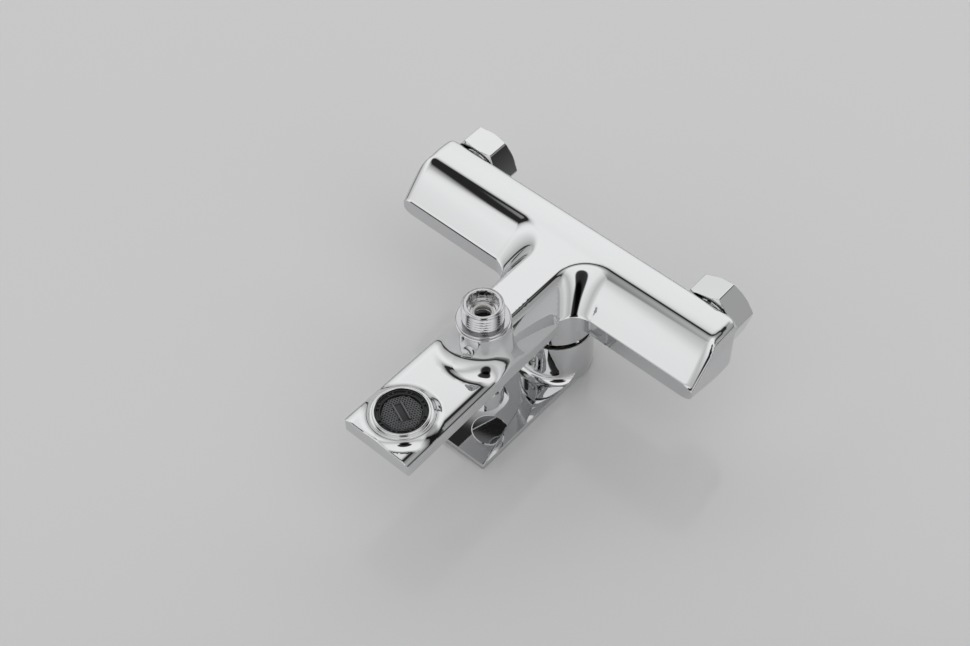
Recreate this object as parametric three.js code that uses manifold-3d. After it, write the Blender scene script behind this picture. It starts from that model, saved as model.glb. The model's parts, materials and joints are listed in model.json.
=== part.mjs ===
// Exposed wall mounted bath and shower mixer, single lever, with a pull-up diverter.
// Millimetres. +Z up, wall towards +Y, spout towards -Y, X along the inlet bar.
// The origin lies in the wall-side plane of the union nuts, midway between the two inlets.
import * as THREE from "three";
import { mergeVertices } from "three/addons/utils/BufferGeometryUtils.js";
import Module from "manifold-3d";

// Driving dimensions
const INLET_SPACING = 150;
const BAR_LENGTH = 187;
const BAR_BACK_Y = -14.5;
const BAR_FRONT_Y = -50.4;
const SLAB_BOTTOM_Z = 5.5;
const SLAB_TOP_Z = 14.5;
const SPOUT_TIP_Y = -169.5;
const SPOUT_TIP_HALF = 20.7;
const SPOUT_ROOT_HALF = 19.6;
const NIPPLE_Y = -93.5;
const AERATOR_Y = -151;
const HUB_Y = -37;
const HUB_R = 20;
const PIVOT_Z = 26;
const SHELL_TOP_Z = PIVOT_Z + 5.4;
const GLIDE_Z = SHELL_TOP_Z + 6.4;
const HOUSING_TOP_Z = PIVOT_Z + 12.2;
const HANDLE_BASE_Z = PIVOT_Z + 16;
const HANDLE_TOP_Z = 72;
const LEVER_THICKNESS = 4;
const LEVER_TIP_Y = -116.5;
const LEVER_TIP_HALF = 19;
const NUT_ACROSS_FLATS = 30;
const NUT_LENGTH = 13;
const THREAD_R = 10.48;
const CARTRIDGE_BORE_R = 17.3;
const CARTRIDGE_R = CARTRIDGE_BORE_R - 0.4;
const DIVERTER_Y = NIPPLE_Y;

const FINE = 52;
const ROUND = 32;
const COARSE = 18;

const wasm = await Module();
wasm.setup();

// Boolean helpers
function solid(geometry) {
  const g = geometry.clone();
  g.deleteAttribute("normal");
  g.deleteAttribute("uv");
  const m = mergeVertices(g, 1e-4);
  const data = {
    numProp: 3,
    vertProperties: new Float32Array(m.attributes.position.array),
    triVerts: new Uint32Array(m.index.array),
  };
  return new wasm.Manifold(new wasm.Mesh(data));
}

function join(...solids) {
  return solids.reduce((a, b) => a.add(b));
}

function cut(base, ...tools) {
  return tools.reduce((a, b) => a.subtract(b), base);
}

function toGeometry(manifold) {
  const mesh = manifold.getMesh();
  const g = new THREE.BufferGeometry();
  g.setAttribute("position", new THREE.BufferAttribute(new Float32Array(mesh.vertProperties), 3));
  g.setIndex(new THREE.BufferAttribute(new Uint32Array(mesh.triVerts), 1));
  g.computeVertexNormals();
  return g;
}

// Shape helpers. A profile is a closed list of [radius, z] turned about Z.
function turned(profile, segments = ROUND) {
  const points = profile.map(([r, z]) => new THREE.Vector2(r, z));
  points.push(points[0].clone());
  const g = new THREE.LatheGeometry(points, segments);
  g.rotateX(Math.PI / 2);
  const s = solid(g);
  return s.volume() < 0 ? solid(flipped(g)) : s;
}

function flipped(geometry) {
  const g = geometry.clone();
  const index = g.index.array;
  for (let i = 0; i < index.length; i += 3) {
    [index[i], index[i + 1]] = [index[i + 1], index[i]];
  }
  return g;
}

function ring(inner, outer, z0, z1, segments = ROUND) {
  return turned([[inner, z0], [outer, z0], [outer, z1], [inner, z1]], segments);
}

function disc(radius, z0, z1, segments = ROUND) {
  const g = new THREE.CylinderGeometry(radius, radius, z1 - z0, segments);
  g.rotateX(Math.PI / 2);
  g.translate(0, 0, (z0 + z1) / 2);
  return solid(g);
}

function rodAlong(axis, radius, from, to, segments = COARSE) {
  const g = new THREE.CylinderGeometry(radius, radius, to - from, segments);
  if (axis === "x") {
    g.rotateZ(Math.PI / 2);
    g.translate((from + to) / 2, 0, 0);
  } else {
    g.translate(0, (from + to) / 2, 0);
  }
  return solid(g);
}

function box(x0, x1, y0, y1, z0, z1) {
  const g = new THREE.BoxGeometry(x1 - x0, y1 - y0, z1 - z0);
  g.translate((x0 + x1) / 2, (y0 + y1) / 2, (z0 + z1) / 2);
  return solid(g);
}

function plate(shape, z0, z1, curveSegments = 12) {
  const options = { depth: z1 - z0, bevelEnabled: false, curveSegments };
  const g = new THREE.ExtrudeGeometry(shape, options);
  g.translate(0, 0, z0);
  return solid(g);
}

function outline(points) {
  return new THREE.Shape(points.map(([x, y]) => new THREE.Vector2(x, y)));
}

// Slices are lists of [x, y, z] with equal counts, each one convex enough to triangulate flat.
function loft(slices) {
  const n = slices[0].length;
  const position = slices.flat(2);
  const index = [];
  for (let k = 0; k + 1 < slices.length; k += 1) {
    for (let i = 0; i < n; i += 1) {
      const a = k * n + i;
      const b = k * n + ((i + 1) % n);
      index.push(a, b, b + n, a, b + n, a + n);
    }
  }
  addCap(index, slices[0], 0, true);
  addCap(index, slices[slices.length - 1], (slices.length - 1) * n, false);
  const g = new THREE.BufferGeometry();
  g.setAttribute("position", new THREE.Float32BufferAttribute(position, 3));
  g.setIndex(index);
  const s = solid(g);
  return s.volume() < 0 ? solid(flipped(g)) : s;
}

function addCap(index, slice, offset, reverse) {
  const flat = capPlane(slice);
  const clockwise = THREE.ShapeUtils.isClockWise(flat);
  for (const [a, b, c] of THREE.ShapeUtils.triangulateShape(flat, [])) {
    const same = THREE.ShapeUtils.isClockWise([flat[a], flat[b], flat[c]]) === clockwise;
    const corners = same ? [a, b, c] : [c, b, a];
    const facing = reverse ? corners.reverse() : corners;
    index.push(...facing.map((i) => offset + i));
  }
}

function capPlane(slice) {
  const sameX = slice.every((p) => Math.abs(p[0] - slice[0][0]) < 1e-6);
  return slice.map(([x, y, z]) => (sameX ? new THREE.Vector2(y, z) : new THREE.Vector2(x, y)));
}

function arc(cx, cy, r, from, to, steps) {
  const points = [];
  for (let i = 0; i <= steps; i += 1) {
    const t = THREE.MathUtils.degToRad(from + ((to - from) * i) / steps);
    points.push([cx + r * Math.cos(t), cy + r * Math.sin(t)]);
  }
  return points;
}

function mix(a, b, t) {
  return a + (b - a) * t;
}

function mirroredX(points) {
  return points.map(([x, y]) => [-x, y]).reverse();
}

// Materials
function material(color, roughness, metalness) {
  return new THREE.MeshStandardMaterial({ color, roughness, metalness });
}

const chrome = material(0xd9dcdf, 0.06, 1);
const brass = material(0xb89a5a, 0.35, 1);
const steel = material(0xb4b6b8, 0.3, 1);
const rubber = material(0x1b1b1c, 0.85, 0);
const blackPlastic = material(0x202123, 0.5, 0);
const whitePlastic = material(0xdcdcd6, 0.5, 0);
const greyPlastic = material(0x8d9094, 0.5, 0);
const ceramic = material(0xeeeeea, 0.25, 0);

const faucet = new THREE.Group();

function place(name, manifold, look, x = 0, y = 0, z = 0) {
  const mesh = new THREE.Mesh(toGeometry(manifold), look);
  mesh.name = name;
  mesh.position.set(x, y, z);
  faucet.add(mesh);
  return mesh;
}

// Body casting

// Inlet bar: one section swept along X, drawn in towards each end.
function barSection(inset) {
  const top = SLAB_TOP_Z;
  const front = BAR_FRONT_Y;
  const back = BAR_BACK_Y - inset * 0.6;
  const low = inset;
  return [
    [front, SLAB_BOTTOM_Z],
    [front, top],
    [front + 1.2, top + 0.7],
    [front + 10, top + 2.6 - inset * 0.1],
    [front + 18, top + 4.2 - inset * 0.3],
    [front + 24, top + 4.8 - inset * 0.5],
    [back - 6, top + 4.0 - inset * 0.6],
    [back - 2.4, top + 1.8 - inset * 0.6],
    [back - 0.5, top - 1.6 - inset * 0.5],
    [back, top - 6],
    [back, -8 + low],
    [back - 0.6, -10.8 + low],
    [back - 2.4, -12.8 + low],
    [back - 5.5, -13.8 + low],
    [back - 11, -14.0 + low],
    [-31, -13.4 + low],
    [-33, -12.4 + low],
    [-34.8, -10.8 + low * 0.9],
    [-37.5, -7.9 + low * 0.7],
  ];
}

function bar() {
  const half = BAR_LENGTH / 2;
  const stations = [[0, 6.5], [0.7, 4.4], [2, 2.7], [4, 1.3], [6.5, 0.4], [9.5, 0]];
  const slices = [];
  for (const [d, inset] of stations) {
    slices.push(barSection(inset).map(([y, z]) => [-half + d, y, z]));
  }
  for (const [d, inset] of [...stations].reverse()) {
    slices.push(barSection(inset).map(([y, z]) => [half - d, y, z]));
  }
  return loft(slices);
}

// Slab: the flat plate shared by the spout and the lower edge of the bar.
function slabPlan() {
  const rootY = BAR_FRONT_Y - 11;
  const right = [
    [0, -20],
    [BAR_LENGTH / 2 - 4, -20],
    [BAR_LENGTH / 2, -26],
    [BAR_LENGTH / 2, BAR_FRONT_Y + 2],
    [BAR_LENGTH / 2 - 0.6, BAR_FRONT_Y + 0.6],
    [BAR_LENGTH / 2 - 2, BAR_FRONT_Y],
    ...arc(SPOUT_ROOT_HALF + 11, rootY, 11, 90, 180, 8),
    ...arc(SPOUT_TIP_HALF - 1.5, SPOUT_TIP_Y + 1.5, 1.5, 0, -90, 4),
    [0, SPOUT_TIP_Y],
  ];
  const left = mirroredX(right).slice(1, -1);
  return outline([...right, ...left]);
}

function slab() {
  return plate(slabPlan(), SLAB_BOTTOM_Z, SLAB_TOP_Z);
}

// Neck: joins the underside of the bar to the nipple boss, wider towards the slab.
function neckSlice(t, z) {
  const face = mix(-33, BAR_FRONT_Y, t);
  const half = mix(10.4, SPOUT_ROOT_HALF - 0.1, t);
  const fillet = mix(17.5, 11, t);
  const right = [
    [half + fillet, -24],
    ...arc(half + fillet, face - fillet, fillet, 90, 180, 10),
    [half, NIPPLE_Y + 3],
  ];
  return [...right, ...mirroredX(right)].map(([x, y]) => [x, y, z]);
}

function neck() {
  return loft([
    neckSlice(-0.12, -13.3),
    neckSlice(0, -12.5),
    neckSlice(0.12, -10.9),
    neckSlice(0.5, -4.2),
    neckSlice(1, SLAB_BOTTOM_Z + 0.3),
    neckSlice(1, SLAB_BOTTOM_Z + 4),
  ]);
}

function nippleBoss() {
  return turned([
    [0, SLAB_TOP_Z - 2], [19, SLAB_TOP_Z - 2], [19, 5.6], [18.3, 5.3], [17.4, 4.3], [16.2, 2.4],
    [15.3, 0.2], [14.5, -3.4], [14, -7.5], [13.6, -12.7], [13.2, -13.3], [0, -13.3],
  ], FINE).translate([0, NIPPLE_Y, 0]);
}

function aeratorBoss() {
  return turned([
    [0, 10], [19.6, 10], [19.6, 5.55], [18.6, 5.3], [17.2, 4.5], [16.1, 3.3], [15.5, 1.9],
    [15.1, 1.5], [0, 1.5],
  ], FINE).translate([0, AERATOR_Y, 0]).intersect(plate(slabPlan(), 0, 12));
}

function cartridgeHousing() {
  return turned([
    [0, 8], [19.6, 8], [23.5, 16.6], [21.9, 17.8], [20.7, 19.6], [HUB_R, 22],
    [HUB_R, HOUSING_TOP_Z - 0.8], [HUB_R - 0.8, HOUSING_TOP_Z], [0, HOUSING_TOP_Z],
  ], FINE).translate([0, HUB_Y, 0]);
}

function portPlaces() {
  const share = CARTRIDGE_R / 16.9;
  return [[-8, 6], [8, 6], [0, -9.5]].map(([x, y]) => [x * share, y * share]);
}

function inletBore(x) {
  const wide = rodAlong("y", 10.3, -32, -10, ROUND).translate([x, 0, 0]);
  const face = rodAlong("y", 12.4, -15.4, -8, ROUND).translate([x, 0, 0]);
  return join(wide, face);
}

function waterway(side) {
  const cross = rodAlong("x", 4.5, 7, 76).translate([0, -29.5, -4]);
  const [x, y] = portPlaces()[1];
  const riser = disc(3.2, -4, 8, COARSE).translate([x, HUB_Y + y, 0]);
  const pair = join(cross, riser);
  return side > 0 ? pair : pair.mirror([1, 0, 0]);
}

function outletWay() {
  const drop = disc(3.4, -1, 8, COARSE).translate([0, HUB_Y + portPlaces()[2][1], 0]);
  const along = rodAlong("y", 4, NIPPLE_Y, -45).translate([0, 0, -0.6]);
  const channel = box(-9, 9, AERATOR_Y, DIVERTER_Y, 8.6, 12.2);
  return join(drop, along, channel);
}

function bodyCasting() {
  const shell = join(bar(), slab(), neck(), nippleBoss(), aeratorBoss(), cartridgeHousing());
  const cartridgeBore = disc(CARTRIDGE_BORE_R, 5, 60, FINE).translate([0, HUB_Y, 0]);
  const chamber = join(
    disc(8.5, -5, 20, ROUND),
    disc(5.5, -9, 0, ROUND),
    disc(9, -20, -6.8, ROUND),
    disc(11.8, -20, -11.3, ROUND),
  ).translate([0, DIVERTER_Y, 0]);
  const aerator = join(disc(14, -5, 10.2, ROUND), disc(10, 8, 12.2, ROUND)).translate([0, AERATOR_Y, 0]);
  return cut(
    shell, cartridgeBore, chamber, aerator, outletWay(), waterway(1), waterway(-1),
    inletBore(INLET_SPACING / 2), inletBore(-INLET_SPACING / 2),
  );
}

place("body_casting", bodyCasting(), chrome);

// Inlets
function unionNut() {
  const r = NUT_ACROSS_FLATS / 2 / Math.cos(Math.PI / 6);
  const hex = solid(new THREE.CylinderGeometry(r, r, NUT_LENGTH, 6)).rotate([90, 0, 0]);
  const cone = turned([
    [0, -6.5], [17.6, -6.5], [17.6, 5.1], [15.2, 6.5], [0, 6.5],
  ], ROUND);
  const body = hex.intersect(cone).translate([0, 0, -NUT_LENGTH / 2]);
  const bore = join(disc(12.2, -10.2, 2, ROUND), disc(10.4, -15, 2, ROUND));
  return cut(body, bore).rotate([-90, 0, 0]);
}

function alongY(profile, segments = ROUND) {
  return turned(profile, segments).rotate([-90, 0, 0]);
}

function inletConnector() {
  return alongY([
    [7, -28], [9.9, -28], [9.9, -15], [11.9, -14.6], [11.9, -13.4], [10.1, -13.2], [10.1, -9.9],
    [11.8, -9.9], [11.8, -8.2], [7, -8.2],
  ]);
}

function strainer() {
  const shell = alongY([
    [6.6, -18.6], [6.6, -8.6], [7.6, -7.9], [9.4, -7.9], [9.4, -7.3], [6.1, -7.3], [6.1, -18],
    [0, -18], [0, -18.6],
  ], COARSE);
  const holes = [[0, 0], [3.4, 0], [-3.4, 0], [0, 3.4], [0, -3.4]].map(([x, z]) =>
    rodAlong("y", 1.1, -20, -16, 8).translate([x, 0, z]));
  return cut(shell, ...holes);
}

for (const [side, sign, turn] of [["left", -1, 12.1], ["right", 1, 31.7]]) {
  const x = (sign * INLET_SPACING) / 2;
  const nut = place(`union_nut_${side}`, unionNut(), chrome, x);
  nut.rotation.y = THREE.MathUtils.degToRad(turn);
  place(`inlet_connector_${side}`, inletConnector(), chrome, x);
  place(`inlet_strainer_${side}`, strainer().translate([0, 0.6, 0]), steel, x);
  place(`inlet_washer_${side}`, alongY([[8.2, -6.4], [11.7, -6.4], [11.7, -4.6], [8.2, -4.6]]), rubber, x);
  place(`connector_o_ring_${side}`, alongY([
    [8.2, -30.2], [9.9, -30.2], [9.9, -28.4], [8.2, -28.4],
  ], COARSE), rubber, x);
}

// Cartridge, set on the housing axis
function seal(x, y) {
  return ring(3.5, 4.7, 5.3, 6.4, COARSE).translate([x, y, 0]);
}

const ports = portPlaces();

function cartridgeBase() {
  const pockets = ports.map(([x, y]) => disc(5, 5, 6.7, COARSE).translate([x, y, 0]));
  const ways = ports.map(([x, y]) => disc(3.2, 4, 12, COARSE).translate([x, y, 0]));
  return cut(disc(CARTRIDGE_R, 5.3, 9.3, ROUND), ...pockets, ...ways);
}

function fixedDisc() {
  const ways = ports.map(([x, y]) => disc(3, 9, 14, 16).translate([x * 0.85, y * 0.85, 0]));
  return cut(disc(CARTRIDGE_R - 3.5, 9.6, 12.6, ROUND), ...ways);
}

function movingDisc() {
  return cut(disc(CARTRIDGE_R - 5.7, 12.9, 16, ROUND), disc(7.2, 12, 14.8, COARSE));
}

function discCarrier() {
  return cut(disc(CARTRIDGE_R - 5.7, 16.3, 20, ROUND), disc(3.4, 17.6, 21, COARSE));
}

function rotor() {
  const shoulder = SHELL_TOP_Z - 2;
  const wide = disc(CARTRIDGE_R - 4.3, 20.6, shoulder, ROUND);
  const block = join(wide, disc(CARTRIDGE_R - 7.7, shoulder - 0.4, SHELL_TOP_Z + 4.2, ROUND));
  const slot = box(-4.4, 4.4, 7.3 - CARTRIDGE_R, CARTRIDGE_R - 7.3, 19, SHELL_TOP_Z + 6);
  const pinHole = rodAlong("x", 1.7, -14, 14, 16).translate([0, 0, PIVOT_Z]);
  return cut(block, slot, pinHole);
}

function cartridgeShell() {
  const inner = CARTRIDGE_R - 2.7;
  const windows = box(-20, 20, -3, 3, 10, 15);
  const shell = turned([
    [inner, 9.6], [CARTRIDGE_R, 9.6], [CARTRIDGE_R, SHELL_TOP_Z], [CARTRIDGE_R - 7.3, SHELL_TOP_Z],
    [CARTRIDGE_R - 7.3, SHELL_TOP_Z - 1.6], [inner - 1.2, SHELL_TOP_Z - 1.6], [inner, SHELL_TOP_Z - 2.8],
  ], ROUND);
  return cut(shell, windows);
}

function leverStem() {
  const toe = solid(new THREE.SphereGeometry(3, 20, 12)).translate([0, 0, 20.9]);
  const blade = box(-4, 4, -3, 3, 22.4, PIVOT_Z + 3.6);
  const shaft = box(-4, 4, -4, 4, PIVOT_Z + 3.6, 58.4);
  const hole = rodAlong("x", 1.7, -9, 9, 16).translate([0, 0, PIVOT_Z]);
  return cut(join(toe, disc(2.6, 21, 24, 16), blade, shaft), hole);
}

function pivotPin() {
  const reach = CARTRIDGE_R - 5.4;
  return rodAlong("x", 1.4, -reach, reach, 16).translate([0, 0, PIVOT_Z]);
}

place("cartridge_base", cartridgeBase(), greyPlastic, 0, HUB_Y);
place("seal_hot", seal(...ports[0]), rubber, 0, HUB_Y);
place("seal_cold", seal(...ports[1]), rubber, 0, HUB_Y);
place("seal_outlet", seal(...ports[2]), rubber, 0, HUB_Y);
place("fixed_disc", fixedDisc(), ceramic, 0, HUB_Y);
place("moving_disc", movingDisc(), ceramic, 0, HUB_Y);
place("disc_carrier", discCarrier(), whitePlastic, 0, HUB_Y);
place("cartridge_rotor", rotor(), whitePlastic, 0, HUB_Y);
place("cartridge_shell", cartridgeShell(), greyPlastic, 0, HUB_Y);
place("lever_stem", leverStem(), brass, 0, HUB_Y);
place("pivot_pin", pivotPin(), steel, 0, HUB_Y);

function retainingNut() {
  const notches = [0, 60, 120].map((a) => box(-20, 20, -2, 2, SHELL_TOP_Z + 4, 50).rotate([0, 0, a]));
  const band = ring(CARTRIDGE_R - 5.9, CARTRIDGE_R + 0.1, SHELL_TOP_Z + 0.4, SHELL_TOP_Z + 6, ROUND);
  return cut(band, ...notches);
}

place("retaining_nut", retainingNut(), brass, 0, HUB_Y);
place("glide_ring", turned([
  [13.4, GLIDE_Z], [CARTRIDGE_R + 0.1, GLIDE_Z], [CARTRIDGE_R + 0.1, HANDLE_BASE_Z - 0.8],
  [14.6, HANDLE_BASE_Z - 0.8], [13.4, HANDLE_BASE_Z - 1.6],
]), blackPlastic, 0, HUB_Y);

// Handle: hub and lever in one piece
function leverPlan(inset = 0) {
  const r = HUB_R - inset;
  const tipHalf = LEVER_TIP_HALF - inset;
  const tip = LEVER_TIP_Y - HUB_Y + inset;
  const right = [...arc(0, 0, r, 90, 0, 16), ...arc(tipHalf - 0.8, tip + 0.8, 0.8, 0, -90, 2)];
  return outline([...right, ...mirroredX(right).slice(0, -1)]);
}

function handle() {
  const under = HANDLE_TOP_Z - LEVER_THICKNESS;
  const lever = join(
    plate(leverPlan(), under + 0.4, HANDLE_TOP_Z - 0.5),
    plate(leverPlan(0.5), under, HANDLE_TOP_Z),
  );
  const hub = disc(HUB_R, HANDLE_BASE_Z, under + 1, FINE);
  const flare = turned([
    [0, 60], [HUB_R - 0.3, 60], [HUB_R + 0.2, 62.4], [HUB_R + 1.4, 65.2], [HUB_R + 3.4, 67.2],
    [HUB_R + 6, under + 0.2], [0, under + 0.2],
  ], FINE).intersect(plate(leverPlan(0.2), 55, 70));
  const cavity = turned([
    [0, HANDLE_BASE_Z - 2], [18.3, HANDLE_BASE_Z - 2], [17.9, HANDLE_BASE_Z + 1], [17.9, 61],
    [14, 64.5], [0, 64.5],
  ], ROUND);
  const socket = join(disc(8, HANDLE_BASE_Z + 5, 66, ROUND), box(-5, 5, -18.6, -5, HANDLE_BASE_Z + 7, 66));
  const shell = join(cut(join(hub, lever, flare), cavity), socket);
  const square = box(-4.3, 4.3, -4.3, 4.3, 40, 59);
  const screwHole = rodAlong("y", 2.4, -30, -2, 20).translate([0, 0, 55]);
  return cut(shell, square, screwHole);
}

function setScrew() {
  const body = rodAlong("y", 2.1, -12.6, -4.6, 20);
  const key = solid(new THREE.CylinderGeometry(1.25, 1.25, 4, 6)).translate([0, -12.6, 0]);
  return cut(body, key).translate([0, 0, 55]);
}

place("handle", handle(), chrome, 0, HUB_Y);
place("set_screw", setScrew(), steel, 0, HUB_Y);

// Diverter, set on the nipple axis
function bonnet() {
  const seat = SLAB_TOP_Z + 0.3;
  const plug = disc(8.2, 7.4, seat, ROUND);
  const body = join(plug, disc(10.6, seat, seat + 2.8, FINE), disc(5, seat + 2.2, seat + 5.6, ROUND));
  const bore = join(disc(5.6, 6, 12.6, COARSE), disc(2.8, 6, 40, COARSE), disc(4.1, seat + 3.4, 40, COARSE));
  const windows = join(box(-10, 10, -4.6, 4.6, 8.8, 12.3), box(-4.6, 4.6, -10, 10, 8.8, 12.3));
  return cut(body, bore, windows);
}

function knob() {
  const grip = turned([
    [2.8, 24], [5.2, 24], [5.4, 33], [6.4, 35.4], [9.4, 37], [10, 38], [10, 49.2], [9.4, 50], [0, 50],
    [0, 46], [2.8, 46],
  ], FINE);
  return grip;
}

place("diverter_bonnet", bonnet(), chrome, 0, DIVERTER_Y);
place("diverter_gland", ring(2.8, 3.9, SLAB_TOP_Z + 4, SLAB_TOP_Z + 5.6, COARSE), rubber, 0, DIVERTER_Y);
place("diverter_knob", knob(), chrome, 0, DIVERTER_Y);
place("diverter_rod", disc(2.4, -6.6, 45.6, COARSE), steel, 0, DIVERTER_Y);
place("diverter_seal_lower", ring(2.7, 7, -4.7, -3.3), rubber, 0, DIVERTER_Y);
place("diverter_valve", ring(2.7, 7.2, -3, -1.2), brass, 0, DIVERTER_Y);
place("diverter_seal_upper", ring(2.7, 7, -0.9, 0.3), rubber, 0, DIVERTER_Y);

class Helix extends THREE.Curve {
  constructor(radius, z0, z1, turns) {
    super();
    this.radius = radius;
    this.z0 = z0;
    this.z1 = z1;
    this.turns = turns;
  }

  getPoint(t, target = new THREE.Vector3()) {
    const a = t * this.turns * Math.PI * 2;
    return target.set(this.radius * Math.cos(a), this.radius * Math.sin(a), mix(this.z0, this.z1, t));
  }
}

function spring(radius, wire, z0, z1, turns) {
  const section = new THREE.Shape(new THREE.Path().absarc(0, 0, wire, 0, Math.PI * 2).getPoints(3));
  const options = {
    steps: turns * 11, bevelEnabled: false, extrudePath: new Helix(radius, z0, z1, turns), curveSegments: 3,
  };
  return solid(new THREE.ExtrudeGeometry(section, options));
}

place("diverter_spring", spring(3.9, 0.4, 1, 11.8, 5), steel, 0, DIVERTER_Y);

// Shower nipple with its non-return valve
function nippleProfile() {
  const pitch = 1.814;
  const points = [
    [5.6, -7.1], [8.7, -7.1], [8.7, -13.6], [13.15, -13.6], [13.15, -14.6], [12.7, -15], [9.4, -15],
  ];
  for (let z = -15.6; z > -23.4; z -= pitch) {
    points.push([9.4, z], [THREAD_R, z - pitch * 0.36], [THREAD_R, z - pitch * 0.52], [9.4, z - pitch * 0.9]);
  }
  points.push([9.3, -24.8], [8.9, -25.3], [7.4, -25.3], [7.4, -19.4], [6.7, -19], [6.7, -8.6], [5.6, -8.6]);
  return points;
}

function nipple() {
  const notches = [0, 45, 90, 135].map((a) => box(-8, 8, -1, 1, -27, -19.8).rotate([0, 0, a]));
  return cut(turned(nippleProfile(), 32), join(...notches));
}

place("shower_nipple", nipple(), chrome, 0, NIPPLE_Y);
place("nipple_o_ring", ring(9.3, 11.5, -13.2, -11.6, ROUND), rubber, 0, NIPPLE_Y);
place("check_housing", turned([
  [4.2, -18.7], [6.4, -18.7], [6.4, -8.9], [4.2, -8.9], [4.2, -10.2], [5.5, -10.2], [5.5, -17.6],
  [4.2, -17.6],
], COARSE), whitePlastic, 0, NIPPLE_Y);
place("check_poppet", turned([
  [0, -11.9], [5, -11.9], [5, -10.6], [3.6, -10.5], [3.2, -9.2], [0, -9.2],
], COARSE), blackPlastic, 0, NIPPLE_Y);
place("check_spring", spring(4.6, 0.3, -17.2, -12.3, 3), steel, 0, NIPPLE_Y);

// Aerator
function aeratorInsert() {
  const basket = turned([
    [0, 3], [9.2, 2.2], [9.6, 1.2], [12.2, 1.2], [12.65, 1.7], [12.65, 8], [11.4, 8], [11.4, 4],
    [9, 4], [0, 4.6],
  ], ROUND);
  const slots = [0, 45, 90, 135].map((a) => box(-12.1, 12.1, -1, 1, -1, 2.3).rotate([0, 0, a + 22.5]));
  const rim = ring(10.3, 20, -2, 3, ROUND);
  const coin = box(-5, 5, -1.4, 1.4, 0, 3.6).rotate([0, 0, 42]);
  const bars = join(box(-5.6, 5.6, 1.6, 2.4, 1.6, 4), box(-5.6, 5.6, -2.4, -1.6, 1.6, 4)).rotate([0, 0, 42]);
  const jets = [];
  for (const [radius, count] of [[5.2, 8], [7.6, 12]]) {
    for (let i = 0; i < count; i += 1) {
      const a = (i / count) * Math.PI * 2;
      jets.push(disc(0.7, 0, 6, 5).translate([radius * Math.cos(a), radius * Math.sin(a), 0]));
    }
  }
  return cut(join(cut(basket, ...jets), bars), coin, ...slots.map((s) => s.intersect(rim)));
}

place("aerator_ring", turned([
  [12.55, 0], [13.7, 0], [13.9, 0.3], [13.7, 1.4], [13.7, 9.4], [12.95, 9.4], [12.95, 1], [12.55, 0.6],
], FINE), chrome, 0, AERATOR_Y);
place("aerator_insert", aeratorInsert(), blackPlastic, 0, AERATOR_Y);
place("aerator_screen", cut(
  disc(11, 5, 7.6, COARSE), disc(9.6, 5.8, 9, COARSE), disc(1.2, 4, 7, 8),
), steel, 0, AERATOR_Y);
place("aerator_washer", ring(10.2, 12.6, 8.3, 9.9, ROUND), rubber, 0, AERATOR_Y);

export default faucet;
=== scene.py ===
# %% [markdown]
# # A wall mounted bath mixer
#
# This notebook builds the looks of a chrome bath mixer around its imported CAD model. The mixer has a flat
# spout, a bar with a union nut near each end, a single lever, and a shower outlet underneath. It is shown
# upside down, lying on the top of its lever, so the pale tabletop is above it in the part's own frame,
# where +Z is up.

# %% Load the frame
import json
import math

import bmesh
import bpy
import numpy as np
from mathutils import Matrix, Vector
from mathutils.geometry import delaunay_2d_cdt


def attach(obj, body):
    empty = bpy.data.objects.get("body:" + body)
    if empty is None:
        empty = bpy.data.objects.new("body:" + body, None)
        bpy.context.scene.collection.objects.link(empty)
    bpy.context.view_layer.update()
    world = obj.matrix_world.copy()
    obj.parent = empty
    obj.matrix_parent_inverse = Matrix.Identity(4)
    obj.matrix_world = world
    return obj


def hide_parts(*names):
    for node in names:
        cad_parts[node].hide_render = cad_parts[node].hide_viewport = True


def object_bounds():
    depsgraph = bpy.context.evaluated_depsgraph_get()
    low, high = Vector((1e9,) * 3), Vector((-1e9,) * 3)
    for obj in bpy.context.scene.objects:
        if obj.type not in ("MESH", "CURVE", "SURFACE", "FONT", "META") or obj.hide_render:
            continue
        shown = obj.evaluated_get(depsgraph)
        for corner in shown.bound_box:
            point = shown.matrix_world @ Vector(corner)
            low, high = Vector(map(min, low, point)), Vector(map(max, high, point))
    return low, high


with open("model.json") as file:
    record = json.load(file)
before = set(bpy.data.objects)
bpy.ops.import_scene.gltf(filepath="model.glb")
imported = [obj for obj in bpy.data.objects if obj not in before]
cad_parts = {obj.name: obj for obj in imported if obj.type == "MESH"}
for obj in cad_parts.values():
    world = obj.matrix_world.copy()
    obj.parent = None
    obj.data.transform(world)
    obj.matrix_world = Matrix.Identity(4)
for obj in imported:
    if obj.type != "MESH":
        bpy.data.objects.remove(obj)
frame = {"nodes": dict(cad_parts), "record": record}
nodes = frame["nodes"]
cad_low, cad_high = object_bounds()
MM = 0.001
print("CAD box, mm:", [round(1000 * (h - l), 1) for l, h in zip(cad_low, cad_high)])

# %% [markdown]
# The camera stands in front of the faucet, to its left and below it, looking up at the underside. Because
# the faucet lies upside down, the top of the view is the part's -Z. Three angles and a place set it: an
# azimuth along the inlet bar, an elevation, and a small roll. The lens is 63 mm on a 36 mm sensor.

# %% Camera
AZIMUTH, ELEVATION, ROLL = 41.929, 52.383, -0.75
CAMERA_PLACE = Vector((-0.33099, -0.46068, -0.65175))
LENS_MM, SENSOR_MM = 63.28, 36


def camera_axes(azimuth, elevation, roll):
    a, e, r = (math.radians(v) for v in (azimuth, elevation, roll))
    right = Vector((-math.cos(a), math.sin(a), 0))
    ahead = Vector((math.sin(a) * math.cos(e), math.cos(a) * math.cos(e), math.sin(e)))
    down = ahead.cross(right)
    turned_right = math.cos(r) * right - math.sin(r) * down
    turned_down = math.sin(r) * right + math.cos(r) * down
    return turned_right, turned_down, ahead


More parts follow.
